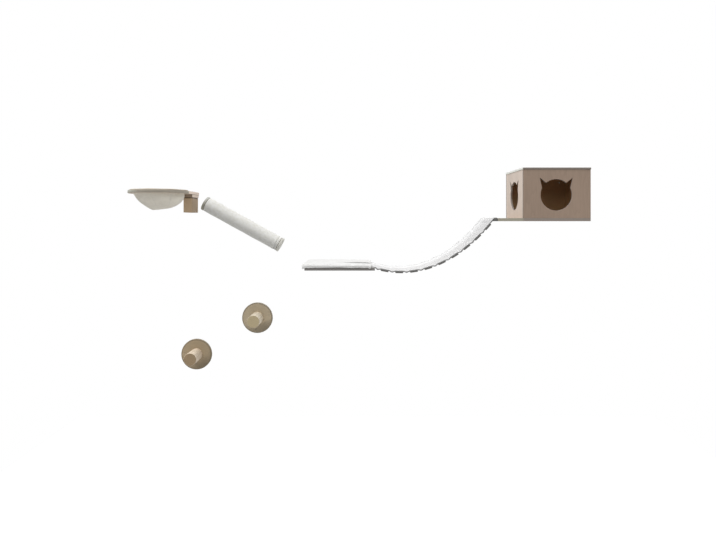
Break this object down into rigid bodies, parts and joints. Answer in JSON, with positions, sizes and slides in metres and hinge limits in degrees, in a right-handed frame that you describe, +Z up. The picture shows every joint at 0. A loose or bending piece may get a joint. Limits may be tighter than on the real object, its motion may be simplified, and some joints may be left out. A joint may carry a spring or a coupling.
{
  "type": "cat climbing wall",
  "caption": "Wall-mounted cat climbing set: box house with head-shaped doorways and a porch, hanging slat bridge, cushioned platform, padded scratching post, ring hammock and round peg steps.",
  "frame": {"origin": "middle of the house's back panel, on the wall", "axes": "+X to the right along the wall, +Y into the wall, +Z up"},
  "size_m": [2.793, 0.431, 1.296],
  "materials": {
    "birch_panel": "clear matt lacquer over birch plywood",
    "birch_slat": "clear matt lacquer",
    "pine_turned": "clear matt lacquer over turned pine",
    "pine_block": "sanded pine",
    "white_fleece": "short brushed pile",
    "white_canvas": "plain weave",
    "grey_canvas": "plain weave",
    "white_plush": "short pile",
    "hook_tape": "hook-and-loop tape",
    "zinc_steel": "zinc plated",
    "snap_steel": "nickel plated"
  },
  "bodies": {
    "fixed_to_wall": {"house_base_panel": "birch_panel", "house_back_panel": "birch_panel", "house_front_panel": "birch_panel", "house_left_panel": "birch_panel", "house_right_panel": "birch_panel", "house_roof_panel": "birch_panel", "house_dowels": "pine_block", "house_panel_screws": "zinc_steel", "platform_board": "birch_panel", "platform_cushion": "white_fleece", "platform_hook_strips": "hook_tape", "platform_shelf_bracket": "zinc_steel", "bridge_platform_batten": "birch_panel", "bridge_house_batten": "birch_panel", "bridge_batten_screws": "zinc_steel", "bridge_deck_platform_end": "white_canvas", "bridge_deck_house_end": "white_canvas", "hammock_ring": "birch_panel", "hammock_bag": "grey_canvas", "hammock_snaps": "snap_steel", "hammock_packer": "birch_panel", "hammock_block": "pine_block", "hammock_ring_screws": "zinc_steel", "hammock_wall_bracket": "zinc_steel", "post_core": "pine_block", "post_sleeve": "white_plush", "post_upper_cap": "white_plush", "post_lower_cap": "white_plush", "post_wall_blocks": "pine_block", "post_mount_bolts": "zinc_steel", "step_upper_disc": "pine_turned", "step_upper_peg": "pine_turned", "step_upper_bolt": "zinc_steel", "step_lower_disc": "pine_turned", "step_lower_peg": "pine_turned", "step_lower_bolt": "zinc_steel"},
    "slat_1": {"bridge_slat_1": "birch_slat", "bridge_deck_1": "white_canvas"},
    "slat_2": {"bridge_slat_2": "birch_slat", "bridge_deck_2": "white_canvas"},
    "slat_3": {"bridge_slat_3": "birch_slat", "bridge_deck_3": "white_canvas"},
    "slat_4": {"bridge_slat_4": "birch_slat", "bridge_deck_4": "white_canvas"},
    "slat_5": {"bridge_slat_5": "birch_slat", "bridge_deck_5": "white_canvas"},
    "slat_6": {"bridge_slat_6": "birch_slat", "bridge_deck_6": "white_canvas"},
    "slat_7": {"bridge_slat_7": "birch_slat", "bridge_deck_7": "white_canvas"},
    "slat_8": {"bridge_slat_8": "birch_slat", "bridge_deck_8": "white_canvas"},
    "slat_9": {"bridge_slat_9": "birch_slat", "bridge_deck_9": "white_canvas"}
  },
  "joints": [
    {"name": "bridge_sway", "type": "hinge", "parent": "fixed_to_wall", "child": "slat_1", "pos_m": [-1.079, -0.2, -0.437], "axis": [0.9246, 0, 0.381], "range_deg": [-2.16, 2.16]},
    {"name": "slat_2_sway", "type": "hinge", "parent": "slat_1", "child": "slat_2", "pos_m": [-1.079, -0.2, -0.437], "axis": [0.9246, 0, 0.381], "range_deg": [-1.95, 1.95]},
    {"name": "slat_3_sway", "type": "hinge", "parent": "slat_2", "child": "slat_3", "pos_m": [-1.079, -0.2, -0.437], "axis": [0.9246, 0, 0.381], "range_deg": [-1.55, 1.55]},
    {"name": "slat_4_sway", "type": "hinge", "parent": "slat_3", "child": "slat_4", "pos_m": [-1.079, -0.2, -0.437], "axis": [0.9246, 0, 0.381], "range_deg": [-0.99, 0.99]},
    {"name": "slat_5_sway", "type": "hinge", "parent": "slat_4", "child": "slat_5", "pos_m": [-1.079, -0.2, -0.437], "axis": [0.9246, 0, 0.381], "range_deg": [-0.3428, 0.3428]},
    {"name": "slat_9_sway", "type": "hinge", "parent": "fixed_to_wall", "child": "slat_9", "pos_m": [-1.079, -0.2, -0.437], "axis": [0.9246, 0, 0.381], "range_deg": [-2.16, 2.16]},
    {"name": "slat_8_sway", "type": "hinge", "parent": "slat_9", "child": "slat_8", "pos_m": [-1.079, -0.2, -0.437], "axis": [0.9246, 0, 0.381], "range_deg": [-1.95, 1.95]},
    {"name": "slat_7_sway", "type": "hinge", "parent": "slat_8", "child": "slat_7", "pos_m": [-1.079, -0.2, -0.437], "axis": [0.9246, 0, 0.381], "range_deg": [-1.55, 1.55]},
    {"name": "slat_6_sway", "type": "hinge", "parent": "slat_7", "child": "slat_6", "pos_m": [-1.079, -0.2, -0.437], "axis": [0.9246, 0, 0.381], "range_deg": [-0.99, 0.99]}
  ],
  "couplings": [
    {"joint": "slat_2_sway", "follows": "bridge_sway", "ratio": 0.90211},
    {"joint": "slat_3_sway", "follows": "bridge_sway", "ratio": 0.71592},
    {"joint": "slat_4_sway", "follows": "bridge_sway", "ratio": 0.45965},
    {"joint": "slat_5_sway", "follows": "bridge_sway", "ratio": 0.15838},
    {"joint": "slat_9_sway", "follows": "bridge_sway", "ratio": 1},
    {"joint": "slat_8_sway", "follows": "bridge_sway", "ratio": 0.90211},
    {"joint": "slat_7_sway", "follows": "bridge_sway", "ratio": 0.71592},
    {"joint": "slat_6_sway", "follows": "bridge_sway", "ratio": 0.45965}
  ]
}
